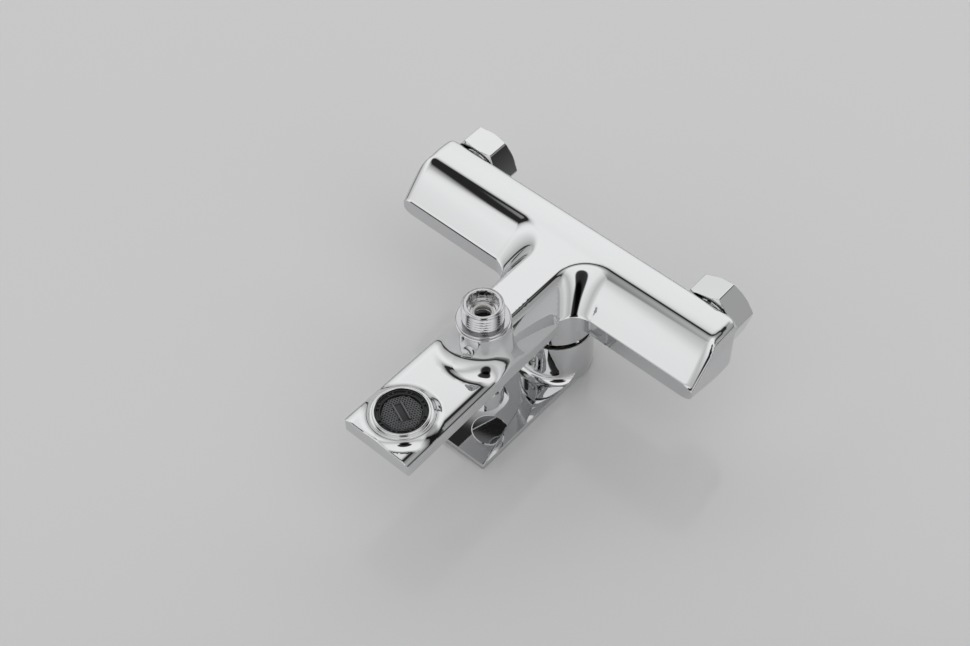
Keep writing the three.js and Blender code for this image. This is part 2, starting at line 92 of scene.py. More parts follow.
camera = bpy.data.objects.new("camera", bpy.data.cameras.new("camera"))
bpy.context.scene.collection.objects.link(camera)
cam_right, cam_down, cam_ahead = camera_axes(AZIMUTH, ELEVATION, ROLL)
cam_place = Matrix((cam_right, -cam_down, -cam_ahead)).transposed().to_4x4()
cam_place.translation = CAMERA_PLACE
camera.matrix_world = cam_place
camera.data.sensor_fit = "HORIZONTAL"
camera.data.sensor_width = SENSOR_MM
camera.data.lens = LENS_MM
camera.data.clip_start = 0.01
bpy.context.scene.camera = camera
print("camera looks along", [round(v, 2) for v in cam_ahead])

# %% [markdown]
# Chrome has no colour of its own: it shows the room. A bright tent keeps it pale, and the seams of the
# tent draw thin dark lines along its edges. The world here does the same, with ramps over the angle to a
# few directions. A thin dark ring is the seam round the front opening, drawn softer near the horizon in
# front. Two small dark spots stand for what is in that opening, a dim patch for the end of the tent, and
# a thin dark band for its foot, at the horizon. The camera itself sees a plain backdrop, because only
# reflections need the tent.

# %% Studio world
OPENING = Vector((-0.36, -0.31, -0.88)).normalized()
SPOT = Vector((-0.55, -0.50, -0.66)).normalized()
STAND = Vector((-0.66, -0.60, -0.42)).normalized()
LOW_FRONT = Vector((-0.6, -0.8, 0.0))
TENT_SIDE = Vector((-0.75, 0.545, -0.38)).normalized()
DOWN = Vector((0, 0, -1))
RING_SHARP = [
    (0.0, 0.5), (0.45, 0.72), (0.66, 0.86), (0.72, 0.82), (0.765, 0.6), (0.79, 0.25), (0.798, 0.02),
    (0.836, 0.02), (0.843, 0.2), (0.87, 0.32), (0.9, 0.5), (0.94, 0.84), (1.0, 0.86),
]
RING_SOFT = [
    (0.0, 0.5), (0.45, 0.66), (0.66, 0.78), (0.74, 0.84), (0.785, 0.8), (0.82, 0.62), (0.86, 0.5),
    (0.93, 0.8), (1.0, 0.85),
]
SOFT_SHARE = [(0.0, 0), (0.625, 0), (0.65, 1), (1.0, 1)]
SHADES = (
    (SPOT, [(0.0, 1), (0.980, 1), (0.985, 0.05), (1.0, 0.03)]),
    (STAND, [(0.0, 1), (0.986, 1), (0.991, 0.05), (1.0, 0.03)]),
    (TENT_SIDE, [(0.0, 1), (0.955, 1), (0.985, 0.47), (1.0, 0.45)]),
    (DOWN, [(0.0, 0.4), (0.45, 0.4), (0.488, 0.04), (0.503, 0.04), (0.517, 0.62), (0.6, 0.8), (0.72, 1.0)]),
)
WORLD_STRENGTH = 1.3
BACKDROP = (0.58, 0.58, 0.585, 1)


def add_ramp(tree, factor, stops):
    ramp = tree.nodes.new("ShaderNodeValToRGB")
    elements = ramp.color_ramp.elements
    while len(elements) < len(stops):
        elements.new(0.5)
    for element, (place, level) in zip(elements, stops):
        element.position = place
        element.color = (level, level, level, 1)
    tree.links.new(factor, ramp.inputs[0])
    return ramp


def direction_dot(tree, direction):
    coords = tree.nodes.new("ShaderNodeTexCoord")
    dot = tree.nodes.new("ShaderNodeVectorMath")
    dot.operation = "DOT_PRODUCT"
    dot.inputs[1].default_value = direction
    tree.links.new(coords.outputs["Generated"], dot.inputs[0])
    half = tree.nodes.new("ShaderNodeMath")
    half.operation = "MULTIPLY_ADD"
    half.inputs[1].default_value = 0.5
    half.inputs[2].default_value = 0.5
    tree.links.new(dot.outputs["Value"], half.inputs[0])
    return half.outputs[0]


def multiply(tree, a, b):
    node = tree.nodes.new("ShaderNodeMixRGB")
    node.blend_type = "MULTIPLY"
    node.inputs[0].default_value = 1
    tree.links.new(a, node.inputs[1])
    tree.links.new(b, node.inputs[2])
    return node.outputs[0]


def studio_world():
    world = bpy.data.worlds.new("studio")
    bpy.context.scene.world = world
    world.use_nodes = True
    tree = world.node_tree
    background = tree.nodes["Background"]
    facing = direction_dot(tree, OPENING)
    sharp = add_ramp(tree, facing, RING_SHARP)
    soft = add_ramp(tree, facing, RING_SOFT)
    low_front = add_ramp(tree, direction_dot(tree, LOW_FRONT), SOFT_SHARE)
    seam = tree.nodes.new("ShaderNodeMixRGB")
    tree.links.new(low_front.outputs[0], seam.inputs[0])
    tree.links.new(sharp.outputs[0], seam.inputs[1])
    tree.links.new(soft.outputs[0], seam.inputs[2])
    light = seam.outputs[0]
    for direction, stops in SHADES:
        shade = add_ramp(tree, direction_dot(tree, direction), stops)
        light = multiply(tree, light, shade.outputs[0])
    tree.links.new(light, background.inputs[0])
    background.inputs[1].default_value = WORLD_STRENGTH
    backdrop = tree.nodes.new("ShaderNodeBackground")
    backdrop.inputs[0].default_value = BACKDROP
    seen = tree.nodes.new("ShaderNodeLightPath")
    swap = tree.nodes.new("ShaderNodeMixShader")
    tree.links.new(seen.outputs["Is Camera Ray"], swap.inputs[0])
    tree.links.new(background.outputs[0], swap.inputs[1])
    tree.links.new(backdrop.outputs[0], swap.inputs[2])
    tree.links.new(swap.outputs[0], tree.nodes["World Output"].inputs[0])


studio_world()
bpy.context.scene.view_settings.view_transform = "Standard"
print("shades over the seam:", len(SHADES))

# %% [markdown]
# Two wide softboxes light the tabletop. They are hidden from mirror rays, so chrome shows the tent and
# not the lamps.

# %% Softboxes
SOFTBOX_SIZE = 2.2
SOFTBOXES = (("overhead_softbox", (0.9, 0.8, -1.3), 3.9), ("side_softbox", (-1.2, -0.4, -1.1), 2.7))


def area_light(name, place, target, size, power):
    data = bpy.data.lights.new(name, "AREA")
    data.shape = "DISK"
    data.size = size
    data.energy = power
    lamp = bpy.data.objects.new(name, data)
    lamp.location = place
    lamp.rotation_euler = (Vector(target) - Vector(place)).to_track_quat("-Z", "Y").to_euler()
    bpy.context.scene.collection.objects.link(lamp)
    return lamp


for name, place, power in SOFTBOXES:
    softbox = area_light(name, place, (0, -0.06, 0.07), SOFTBOX_SIZE, power)
    softbox.visible_glossy = False
print("softboxes:", len(SOFTBOXES))

# %% [markdown]
# Every metal on the faucet is a finish over brass or steel. Chrome plate is almost a mirror, yet never
# perfect: wiping leaves faint smears that change its gloss a little. A stretched noise drives the
# roughness within a narrow range. Rubber, plastic and ceramic get their own grain, each at a real size.

# %% Materials
def new_material(name, color, roughness, metallic=0.0):
    mat = bpy.data.materials.new(name)
    mat.use_nodes = True
    shader = mat.node_tree.nodes["Principled BSDF"]
    shader.inputs["Base Color"].default_value = (*color, 1)
    shader.inputs["Roughness"].default_value = roughness
    shader.inputs["Metallic"].default_value = metallic
    return mat, mat.node_tree, shader


def noise_between(tree, scale, low, high, stretch=(1, 1, 1), detail=3):
    coords = tree.nodes.new("ShaderNodeTexCoord")
    mapping = tree.nodes.new("ShaderNodeMapping")
    mapping.inputs["Scale"].default_value = stretch
    noise = tree.nodes.new("ShaderNodeTexNoise")
    noise.inputs["Scale"].default_value = scale
    noise.inputs["Detail"].default_value = detail
    levels = tree.nodes.new("ShaderNodeMapRange")
    levels.inputs["To Min"].default_value = low
    levels.inputs["To Max"].default_value = high
    tree.links.new(coords.outputs["Object"], mapping.inputs[0])
    tree.links.new(mapping.outputs[0], noise.inputs[0])
    tree.links.new(noise.outputs[0], levels.inputs[0])
    return levels.outputs[0], noise


def add_bump(tree, shader, height, strength, distance):
    bump = tree.nodes.new("ShaderNodeBump")
    bump.inputs["Strength"].default_value = strength
    bump.inputs["Distance"].default_value = distance
    tree.links.new(height, bump.inputs["Height"])
    tree.links.new(bump.outputs[0], shader.inputs["Normal"])


def finish_material(name, color, rough, metallic, scale, shade=0.04, stretch=(1, 1, 1), bump=0.0, depth=2e-5):
    mat, tree, shader = new_material(name, color, rough[0], metallic)
    gloss, noise = noise_between(tree, scale, rough[0], rough[1], stretch)
    tree.links.new(gloss, shader.inputs["Roughness"])
    darker = tuple(c * (1 - shade) for c in color)
    tint = tree.nodes.new("ShaderNodeValToRGB")
    tint.color_ramp.elements[0].color = (*darker, 1)
    tint.color_ramp.elements[1].color = (*color, 1)
    tree.links.new(noise.outputs[0], tint.inputs[0])
    tree.links.new(tint.outputs[0], shader.inputs["Base Color"])
    if bump:
        add_bump(tree, shader, noise.outputs[0], bump, depth)
    return mat


chrome = finish_material("chrome_plate", (0.70, 0.705, 0.71), (0.02, 0.05), 1, 45, 0.02, (1, 1, 2.5))
satin = finish_material("satin_chrome", (0.56, 0.56, 0.57), (0.1, 0.18), 1, 300, 0.05, (1, 1, 8))
brass = finish_material("turned_brass", (0.72, 0.55, 0.27), (0.22, 0.38), 1, 600, 0.12, (1, 1, 9), 0.15)
steel = finish_material("bright_steel", (0.62, 0.63, 0.65), (0.18, 0.32), 1, 900, 0.1, (1, 1, 8), 0.12)
rubber = finish_material("seal_rubber", (0.022, 0.022, 0.024), (0.55, 0.75), 0, 1500, 0.3, bump=0.3)
# Real black plastic on the aerator and the CAD parts, and painted shade in the set screw hole.
black_plastic_and_hole_shade = finish_material("black_plastic_and_hole_shade", (0.018, 0.019, 0.021), (0.32, 0.5), 0, 1200, 0.25, bump=0.15)
white_plastic = finish_material("white_plastic", (0.80, 0.79, 0.75), (0.35, 0.5), 0, 900, 0.06, bump=0.15)
grey_plastic = finish_material("grey_plastic", (0.24, 0.25, 0.27), (0.35, 0.5), 0, 900, 0.1, bump=0.15)
ceramic = finish_material("lapped_ceramic", (0.86, 0.85, 0.82), (0.1, 0.2), 0, 700, 0.04)

FINISH_OF_SLOT = {
    "chrome_plate": chrome,
    "brass_bare": brass,
    "steel_bright": steel,
    "rubber_black": rubber,
    "plastic_black": black_plastic_and_hole_shade,
    "plastic_white": white_plastic,
    "plastic_grey": grey_plastic,
    "ceramic_white": ceramic,
}
for part in frame["record"]["subparts"]:
    mesh = nodes[part["node"]].data
    mesh.materials.clear()
    mesh.materials.append(FINISH_OF_SLOT[part["material_slot"]])
    mesh.shade_smooth()
    mesh.set_sharp_from_angle(angle=math.radians(28))

# %% [markdown]
# ## The body casting
#
# The body is one casting: a bar, a neck and a flat spout that flow into each other, polished and plated.
# Modelling it from boxes would show in the reflections. Seen along Z, though, every point of it has one
# lower and one upper surface, so both are given here as formulas of x and y. The plan is filled with a
# fine mesh, and the normals come from the slope of the formulas, so the mirror finish stays free of
# facets.

# %% Plan of the body, in millimetres
BAR_HALF, BAR_FRONT, BAR_BACK = 93.5, -50.4, -14.5
SLAB_LOW, SLAB_HIGH = 5.5, 14.5
TIP_Y, TIP_HALF, ROOT_HALF = -169.3, 20.7, 19.6
NIPPLE_Y, AERATOR_Y, HUB_Y = -93.5, -151.0, -37.0
PLATEAU = -13.5
NECK_CORNER_R = 11
NECK_END_Y = BAR_FRONT - NECK_CORNER_R
AERATOR_HOLE_R, OUTLET_OPENING_R = 14.0, 7.5
RING_STEPS = 110


def arc_points(cx, cy, r, start, stop, steps):
    angles = np.radians(np.linspace(start, stop, steps + 1))
    return [(cx + r * math.cos(a), cy + r * math.sin(a)) for a in angles]


def straight(a, b, step=1.2):
    n = max(1, int(math.dist(a, b) / step))
    return [(a[0] + (b[0] - a[0]) * i / n, a[1] + (b[1] - a[1]) * i / n) for i in range(1, n)]


def chain(*runs):
    points = []
    for run in runs:
        if points:
            points += straight(points[-1], run[0])
        points += run
    return points


def body_plan():
    back = arc_points(BAR_HALF - 6.5, BAR_BACK - 6.5, 6.5, 90, 0, 16)
    front = arc_points(BAR_HALF - 0.8, BAR_FRONT + 0.8, 0.8, 0, -90, 4)
    inner = arc_points(ROOT_HALF + NECK_CORNER_R, NECK_END_Y, NECK_CORNER_R, 90, 180, 20)
    tip = arc_points(TIP_HALF - 1.8, TIP_Y + 1.8, 1.8, 0, -90, 6)
    right = chain([(0, BAR_BACK)], back, front, inner, tip, [(0, TIP_Y)])
    left = [(-x, y) for x, y in reversed(right[1:-1])]
    return right + left


plan = np.array(body_plan())
print("plan points:", len(plan))

# %% [markdown]
# The lower surface starts from the flat plateau. From its rim the metal slopes down to the slab, along
# the front of each arm and along both sides of the neck, with a round hollow where the two meet. That rim
# and slope are a family of outlines: the number t says which outline a point lies on, and t also sets the
# height.

# %% Lower surface
def smooth_max(a, b, k):
    h = np.clip(0.5 + 0.5 * (a - b) / k, 0, 1)
    return b + (a - b) * h + k * h * (1 - h)


def smooth_min(a, b, k):
    return -smooth_max(-a, -b, k)


def outside_outline(t, x, y):
    half = 10 + 9.6 * t
    front = -33 - 17.4 * t
    r = 17.5 - 6.5 * t
    across = np.where(y > NIPPLE_Y, np.abs(x), np.hypot(x, y - NIPPLE_Y))
    p, q = across - half, front - y
    return r - np.hypot(np.maximum(r - p, 0), np.maximum(r - q, 0))


def outline_number(x, y):
    low, high = np.full(x.shape, -0.4), np.full(x.shape, 1.2)
    for _ in range(30):
        mid = (low + high) / 2
        out = outside_outline(mid, x, y) > 0
        low, high = np.where(out, mid, low), np.where(out, high, mid)
    return (low + high) / 2


def slope_height(t):
    start, reach = -0.2, 0.27
    run = np.clip(t - start, 0, 3)
    full = 1 - start - reach * (1 - math.exp(-(1 - start) / reach))
    return PLATEAU + (SLAB_LOW - PLATEAU) * (run - reach * (1 - np.exp(-run / reach))) / full


def edge_lift(u, power=2.4):
    u = np.clip(u, 0, 1)
    return 1 - (1 - u**power) ** (1 / power)


def side_distance(x, y):
    half = TIP_HALF + (y - TIP_Y) * (ROOT_HALF - TIP_HALF) / (NECK_END_Y - TIP_Y)
    return half - np.abs(x)


NIPPLE_FLARE = np.array([
    (0, -13.3), (13.0, -13.3), (13.5, -12.9), (13.75, -11), (14.2, -8.5), (14.9, -6), (16.0, -3.2),
    (17.5, -0.4), (18.9, 1.6), (20.4, 3.3), (22.0, 4.6), (23.8, 5.3), (25.6, SLAB_LOW), (90, SLAB_LOW),
])
AERATOR_FLARE = np.array([
    (0, 1.5), (14.7, 1.5), (15.05, 1.7), (15.4, 2.4), (16.0, 3.3), (17.0, 4.3), (18.3, 5.05),
    (20.0, SLAB_LOW), (90, SLAB_LOW),
])
TIP_EDGE = 0.7
LOW_SIDE_REACH, LOW_SIDE_LIFT = 5.5, 2.4
ARM_END_REACH, ARM_END_LIFT = 5.5, 4.2


def smooth_table(table, q):
    x, y = table[:, 0], table[:, 1]
    step, rise = np.diff(x), np.diff(y) / np.diff(x)
    slope = np.zeros(len(x))
    same = rise[1:] * rise[:-1] > 0
    slope[1:-1][same] = (2 * rise[1:] * rise[:-1] / (rise[1:] + rise[:-1] + 1e-12))[same]
    i = np.clip(np.searchsorted(x, q) - 1, 0, len(x) - 2)
    t = np.clip((q - x[i]) / step[i], 0, 1)
    a, b = y[i], y[i + 1]
    bend = (1 - t) ** 2 * t * step[i] * slope[i] - t**2 * (1 - t) * step[i] * slope[i + 1]
    return a + (b - a) * t * t * (3 - 2 * t) + bend


def end_lift(x, y, height_end, height_back, reach_end=7.0, reach_back=6.5):
    u = np.clip(1 - (BAR_HALF - np.abs(x)) / reach_end, 0, 1)
    v = np.clip(1 - (BAR_BACK - y) / reach_back, 0, 1)
    total = u * u + v * v + 1e-9
    height = (height_end * u * u + height_back * v * v) / total
    return height * edge_lift(np.hypot(u, v))


def lower(x, y):
    neck = slope_height(outline_number(x, y))
    crown = -0.6 * np.clip((y + 31) / 5, 0, 1) * np.clip((-14.5 - y) / 8, 0, 1)
    plateau = PLATEAU + crown + end_lift(x, y, 7.5, 3.5, reach_back=3.5)
    z = smooth_max(neck, plateau, 0.8)
    z = smooth_min(z, smooth_table(NIPPLE_FLARE, np.hypot(x, y - NIPPLE_Y)), 1.2)
    z = np.minimum(z, smooth_table(AERATOR_FLARE, np.hypot(x, y - AERATOR_Y)))
    side = edge_lift(1 - side_distance(x, y) / LOW_SIDE_REACH, 2) * LOW_SIDE_LIFT * (y < NECK_END_Y)
    tip = edge_lift(1 - (y - TIP_Y) / TIP_EDGE, 2) * TIP_EDGE
    z = np.minimum(z, SLAB_LOW) + np.maximum(side, tip)
    return z + ARM_END_LIFT * edge_lift(1 - (BAR_HALF - np.abs(x)) / ARM_END_REACH, 2)


on_axis = np.zeros(2)
print("underside at the hub and near the tip, mm:", lower(on_axis, np.array([HUB_Y, TIP_Y + 5])).round(2))

# %% [markdown]
# The upper surface is simpler. A section across the bar gives its height, which falls to the flat top of
# the slab. The ends and the back of the bar are rounded over, and the slab keeps only a thin broken edge.

# %% Upper surface
BAR_TOP = np.array([
    (-200, SLAB_HIGH), (-51.4, SLAB_HIGH), (-49.4, 14.9), (-45, 15.9), (-38, 17.6), (-32, 18.8),
    (-27, 19.3), (-22, 19.1), (-14, 18.6),
])
TOP_SIDE_EDGE = 0.6


def upper(x, y):
    z = smooth_table(BAR_TOP, y) - end_lift(x, y, 5.5, 9.0)
    side = edge_lift(1 - side_distance(x, y) / TOP_SIDE_EDGE, 2) * TOP_SIDE_EDGE * (y < NECK_END_Y)
    tip = edge_lift(1 - (y - TIP_Y) / TIP_EDGE, 2) * TIP_EDGE
    return z - np.maximum(side, tip)


print("top at the hub and near the tip, mm:", upper(on_axis, np.array([HUB_Y, TIP_Y + 5])).round(2))


# %% [markdown]
# A point set fills the plan: a regular grid, extra rows close to every edge where the surface turns
# quickly, and rings round the two round bosses. A constrained triangulation joins the points, and leaves
# a hole for the aerator.

# %% Fill the plan
EDGE_ROWS = (0.06, 0.16, 0.32, 0.55, 0.85)
NIPPLE_RINGS = [
    12.4, 13.1, 13.25, 13.4, 13.55, 13.7, 13.85, 14.05, 14.3, 14.6, 15, 15.5, 16, 16.6, 17.3, 18, 18.8,
    19.7, 20.6, 21.6, 22.6, 23.7, 24.8,
]
AERATOR_RINGS = [14.6, 15.0, 15.15, 15.3, 15.5, 15.8, 16.2, 16.7, 17.3, 18, 18.8, 19.6]


def inset_plan(points, distance):
    ahead, behind = np.roll(points, -1, 0), np.roll(points, 1, 0)
    along = ahead - behind
    along /= np.linalg.norm(along, axis=1)[:, None]
    inward = np.stack([along[:, 1], -along[:, 0]], 1)
    return points + inward * distance


def inside_plan(points, margin):
    x, y = points[:, 0], points[:, 1]
    hit = np.zeros(len(points), bool)
    near = np.full(len(points), 1e9)
    for (x0, y0), (x1, y1) in zip(plan, np.roll(plan, -1, 0)):
        crosses = (y0 > y) != (y1 > y)
        if y0 != y1:
            hit ^= crosses & (x < (x1 - x0) * (y - y0) / (y1 - y0) + x0)
        d = np.array((x1 - x0, y1 - y0))
        s = np.clip(((x - x0) * d[0] + (y - y0) * d[1]) / (d @ d), 0, 1)
        near = np.minimum(near, np.hypot(x - x0 - s * d[0], y - y0 - s * d[1]))
    return hit & (near > margin)


def ring_points(cy, radii, count):
    angles = np.linspace(0, 2 * np.pi, count, endpoint=False)
    return np.concatenate([np.stack([r * np.cos(angles), cy + r * np.sin(angles)], 1) for r in radii])


def body_points():
    xs, ys = np.meshgrid(np.arange(-93, 93.1, 1.2), np.arange(-169, -14, 1.2))
    grid = np.stack([xs.ravel(), ys.ravel()], 1)
    grid = grid[inside_plan(grid, 1.1)]
    to_nipple = np.hypot(grid[:, 0], grid[:, 1] - NIPPLE_Y)
    to_aerator = np.hypot(grid[:, 0], grid[:, 1] - AERATOR_Y)
    grid = grid[((to_nipple < 12) | (to_nipple > 25.6)) & (to_aerator > 20)]
    rows = np.concatenate([inset_plan(plan, d) for d in EDGE_ROWS])
    rows = rows[inside_plan(rows, 0.05)]
    loose = np.concatenate([
        ring_points(NIPPLE_Y, NIPPLE_RINGS, RING_STEPS), ring_points(AERATOR_Y, AERATOR_RINGS, RING_STEPS)])
    return np.concatenate([grid, rows, loose[inside_plan(loose, 0.9)]])


def fill_plan():
    hole = ring_points(AERATOR_Y, [AERATOR_HOLE_R], RING_STEPS)
    points = [Vector(p) for p in np.concatenate([plan, hole, body_points()])]
    n, m = len(plan), len(hole)
    edges = [(i, (i + 1) % n) for i in range(n)]
    edges += [(n + i, n + (i + 1) % m) for i in range(m)]
    found = delaunay_2d_cdt(points, edges, [], 1, 1e-7)
    verts = np.array([tuple(v) for v in found[0]])
    reach = [np.hypot(*(verts[list(f)] - (0, AERATOR_Y)).T).max() for f in found[2]]
    faces = [f for f, r in zip(found[2], reach) if r > AERATOR_HOLE_R + 0.05]
    return verts, faces


plan_verts, plan_faces = fill_plan()
print("plan mesh:", len(plan_verts), "points,", len(plan_faces), "faces")

# %% [markdown]
# The two sheets share the plan mesh. The rim between them is a vertical band, and so is the wall of the
# aerator hole. Every corner of every face is given its normal one by one: from the formulas on the sheets,
# and from the outline's direction on the bands.

# %% Body mesh
def sheet_normals(height, verts, sign):
    x, y, h = verts[:, 0], verts[:, 1], 0.04
    dx = (height(x + h, y) - height(x - h, y)) / (2 * h)
    dy = (height(x, y + h) - height(x, y - h)) / (2 * h)
    normal = np.stack([-dx, -dy, np.ones(len(x))], 1) * sign
    return normal / np.linalg.norm(normal, axis=1)[:, None]


def rim_edges(faces):
    seen = {}
    for face in faces:
        for a, b in zip(face, list(face[1:]) + [face[0]]):
            seen[(a, b)] = True
    return [(a, b) for a, b in seen if (b, a) not in seen]


def rim_normals(rim, verts):
    out = {}
    for a, b in rim:
        d = verts[b] - verts[a]
        n = np.array((d[1], -d[0], 0)) / np.linalg.norm(d)
        for v in (a, b):
            out.setdefault(v, []).append(n)
    return out


def corner_normal(candidates, own):
    close = [n for n in candidates if n @ own > 0.87]
    total = sum(close)
    return total / np.linalg.norm(total)


def build_mesh(name, verts, faces, normals, material):
    mesh = bpy.data.meshes.new(name)
    mesh.from_pydata([tuple(v) for v in verts], [], faces)
    mesh.materials.append(material)
    mesh.shade_smooth()
    if normals is not None:
        mesh.normals_split_custom_set([tuple(n) for n in normals])
    piece = bpy.data.objects.new(name, mesh)
    bpy.context.scene.collection.objects.link(piece)
    return piece


def aerator_lid(rim):
    follow = {b: a for a, b in rim if np.hypot(*(plan_verts[a] - (0, AERATOR_Y))) < AERATOR_HOLE_R + 0.1}
    lid = [next(iter(follow))]
    while follow[lid[-1]] != lid[0]:
        lid.append(follow[lid[-1]])
    return tuple(lid)


def body_piece():
    n = len(plan_verts)
    x, y = plan_verts[:, 0], plan_verts[:, 1]
    low, high = lower(x, y), np.maximum(upper(x, y), lower(x, y) + 0.5)
    verts = np.concatenate([np.stack([x, y, high], 1), np.stack([x, y, low], 1)]) * MM
    up, down = sheet_normals(upper, plan_verts, 1), sheet_normals(lower, plan_verts, -1)
    to_nipple = [np.hypot(*(plan_verts[list(f)].mean(0) - (0, NIPPLE_Y))) for f in plan_faces]
    under = [f for f, gap in zip(plan_faces, to_nipple) if gap > OUTLET_OPENING_R]
    faces = [tuple(f) for f in plan_faces] + [tuple(v + n for v in reversed(f)) for f in under]
    normals = [up[v] for f in plan_faces for v in f] + [down[v] for f in under for v in reversed(f)]
    rim = rim_edges(plan_faces)
    lid = aerator_lid(rim)
    faces.append(tuple(range(2 * n, 2 * n + len(lid))))
    normals += [np.array((0, 0, 1.0))] * len(lid)
    verts = np.concatenate([verts, verts[list(lid)]])
    candidates = rim_normals(rim, plan_verts)
    for a, b in rim:
        d = plan_verts[b] - plan_verts[a]
        own = np.array((d[1], -d[0], 0)) / np.linalg.norm(d)
        faces.append((b, a, a + n, b + n))
        normals += [corner_normal(candidates[v], own) for v in (b, a, a, b)]
    return build_mesh("body_shell", verts, faces, normals, chrome)


body = body_piece()
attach(body, "body")
print("body faces:", len(body.data.polygons))

# %% [markdown]
# ## Turned pieces
#
# Most other parts are turned on a lathe. One helper spins a profile, a list of radius and height, round a
# vertical axis. Short chamfers in each profile catch the light as real broken edges do.

# %% Turning helper
def band_faces(rows, steps, first=0):
    faces = []
    for k in range(rows - 1):
        a, b = first + k * steps, first + (k + 1) * steps
        for i in range(steps):
            j = (i + 1) % steps
            faces.append((a + i, a + j, b + j, b + i))
    return faces


def turned(name, profile, centre, material, body_name, steps=128):
    angles = np.linspace(0, 2 * np.pi, steps, endpoint=False)
    across, along = np.cos(angles), np.sin(angles)
    rows = []
    for r, z in profile:
        rows.append(np.stack([centre[0] + r * across, centre[1] + r * along, np.full(steps, z)], 1))
    piece = build_mesh(name, np.concatenate(rows) * MM, band_faces(len(profile), steps), None, material)
    clean_mesh(piece)
    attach(piece, body_name)
    return piece


def clean_mesh(piece, angle=30):
    bm = bmesh.new()
    bm.from_mesh(piece.data)
    bmesh.ops.remove_doubles(bm, verts=bm.verts, dist=2e-6)
    bmesh.ops.recalc_face_normals(bm, faces=bm.faces)
    bm.to_mesh(piece.data)
    bm.free()
    piece.data.shade_smooth()
    piece.data.set_sharp_from_angle(angle=math.radians(angle))


def round_corner(a, b, c, r, steps=5):
    a, b, c = (np.array(v, float) for v in (a, b, c))
    u, w = (a - b) / np.linalg.norm(a - b), (c - b) / np.linalg.norm(c - b)
    points = []
    for i in range(steps + 1):
        s = i / steps
        points.append(tuple(b + u * r * (1 - s) ** 2 + w * r * s**2))
    return points


def rounded(profile, r=0.4):
    out = [profile[0]]
    for a, b, c in zip(profile, profile[1:], profile[2:]):
        reach = min(r, 0.45 * math.dist(a, b), 0.45 * math.dist(b, c))
        out += round_corner(a, b, c, reach)
    return out + [profile[-1]]


# %% [markdown]
# The cartridge housing stands on the bar. It grows out of it with a small flare, and ends in a lapped
# rim. The gap above it, under the handle, holds a dark ring that lets the handle turn freely.

# %% Housing
housing = turned("cartridge_housing", rounded([
    (0, 13), (21.8, 13), (21.7, 17.0), (21.3, 18.6), (20.7, 19.8), (20.3, 21.0), (20.06, 22.5),
    (20.06, 38.2), (17.35, 38.2), (17.35, 37.0), (0, 37.0)], 0.6), (0, HUB_Y), chrome, "body")
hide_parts("body_casting")
print("housing faces:", len(housing.data.polygons))

# %% [markdown]
# ## The handle
#
# The hub and the flat lever are one casting, so they are one mesh. Each point of the plan outline, seen
# from the hub's axis, gets a profile: up the hub's wall, through the round hollow under the lever, out
# along the underside, up the thin edge, and back over the flat top.

# %% Handle
LEVER_TIP, LEVER_HALF, HUB_R = -116.4, 19.2, 20.0
UNDERSIDE_Z, LEVER_TOP_Z, HOLLOW_R = 68, 72, 5.2


def lever_outline():
    meet = math.degrees(math.acos(LEVER_HALF / HUB_R))
    hub = arc_points(0, HUB_Y, HUB_R, -meet, 180 + meet, 110)
    left = arc_points(-LEVER_HALF + 0.9, LEVER_TIP + 0.9, 0.9, 180, 270, 5)
    right = arc_points(LEVER_HALF - 0.9, LEVER_TIP + 0.9, 0.9, 270, 360, 5)
    return chain(hub, left, right, [hub[0]])[:-1]


def handle_profile(reach):
    run = max(reach - HUB_R, 0)
    points = [(17.9, 60), (17.9, 43), (18.2, 42.2), (18.6, 42), (19.5, 42), (19.9, 42.2)]
    points += [(HUB_R, 42.7), (HUB_R, 52), (HUB_R, 60)]
    for i in range(11):
        d = min(run, HOLLOW_R) * i / 10
        rise = math.sqrt(max(HOLLOW_R**2 - (HOLLOW_R - d) ** 2, 0))
        points.append((HUB_R + d, UNDERSIDE_Z - HOLLOW_R + rise))
    last = points[-1][1]
    flat = max(reach - 0.35, points[-1][0])
    points += [(flat, last), (max(reach - 0.1, flat), last + 0.08), (reach, last + 0.3), (reach, 71.5)]
    points += [(reach - 0.12, 71.82), (reach - 0.45, LEVER_TOP_Z)]
    points += [(reach * 0.6, LEVER_TOP_Z), (reach * 0.2, LEVER_TOP_Z)]
    return points


def handle_piece():
    verts, per = [], 0
    outline = lever_outline()
    for x, y in outline:
        d = np.array((x, y - HUB_Y))
        reach = np.linalg.norm(d)
        d /= reach
        profile = handle_profile(reach)
        per = len(profile)
        verts += [(r * d[0], HUB_Y + r * d[1], z) for r, z in profile]
    faces, n = [], len(outline)
    for i in range(n):
        j = (i + 1) % n
        faces += [(i * per + k, j * per + k, j * per + k + 1, i * per + k + 1) for k in range(per - 1)]
    faces.append(tuple(i * per + per - 1 for i in range(n)))
    faces.append(tuple(i * per for i in reversed(range(n))))
    piece = build_mesh("lever_handle", np.array(verts) * MM, faces, None, chrome)
    clean_mesh(piece, 40)
    return piece


handle = handle_piece()
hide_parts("handle")
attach(handle, "lever")
print("handle faces:", len(handle.data.polygons))

# %% [markdown]
# The tabletop is a sheet of pale gloss board. It touches the top face of the lever. Its back is made
# clear, so that a camera above the faucet, in the part's own frame, still sees the faucet and not the
# back of the board. It is also clear to light that has travelled less than 3 mm, so that the face lying
# on it isn't black.

# %% Tabletop
BOARD_GAP, CONTACT_LENGTH = 0.0002, 0.003


